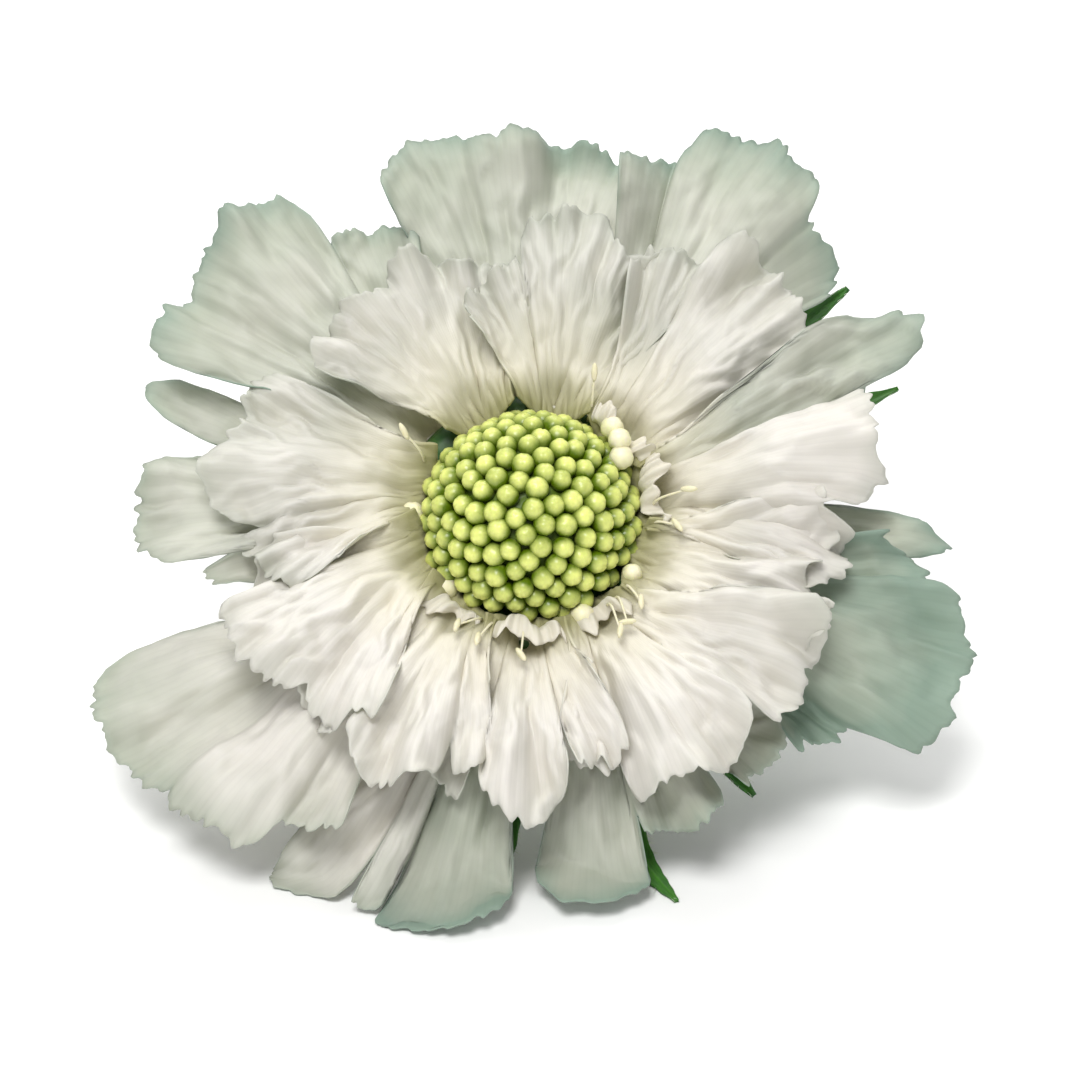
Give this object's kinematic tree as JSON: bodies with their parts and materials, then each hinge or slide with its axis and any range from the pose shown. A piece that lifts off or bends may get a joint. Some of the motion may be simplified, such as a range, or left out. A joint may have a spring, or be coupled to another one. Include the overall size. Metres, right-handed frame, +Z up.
{
  "type": "scabiosa flower",
  "caption": "Cut white scabiosa (pincushion flower) lying with its face tilted up: a dome of green buds ringed by ruffled ray florets, with leafy bracts and a bent stem.",
  "frame": {"origin": "centre of the bounding box's underside, on the surface that the flower lies on", "axes": "+Z up from that surface; the stem lies along +Y and the face looks towards -Y, 50 degrees up; +X is the flower's right seen from its face"},
  "size_m": [0.0751, 0.0969, 0.0477],
  "materials": {
    "stem": "fresh green stem, satin, finely ridged",
    "involucre": "fresh green leaf, satin",
    "ray_florets_outer": "thin petal, soft and matte, white with a touch of green",
    "ray_florets_inner": "thin petal, soft and matte, warm white",
    "bud_dome": "closed green buds, waxy"
  },
  "bodies": {
    "root": {"stem": "stem", "involucre": "involucre", "ray_florets_outer": "ray_florets_outer", "ray_florets_inner": "ray_florets_inner", "bud_dome": "bud_dome"}
  },
  "joints": []
}
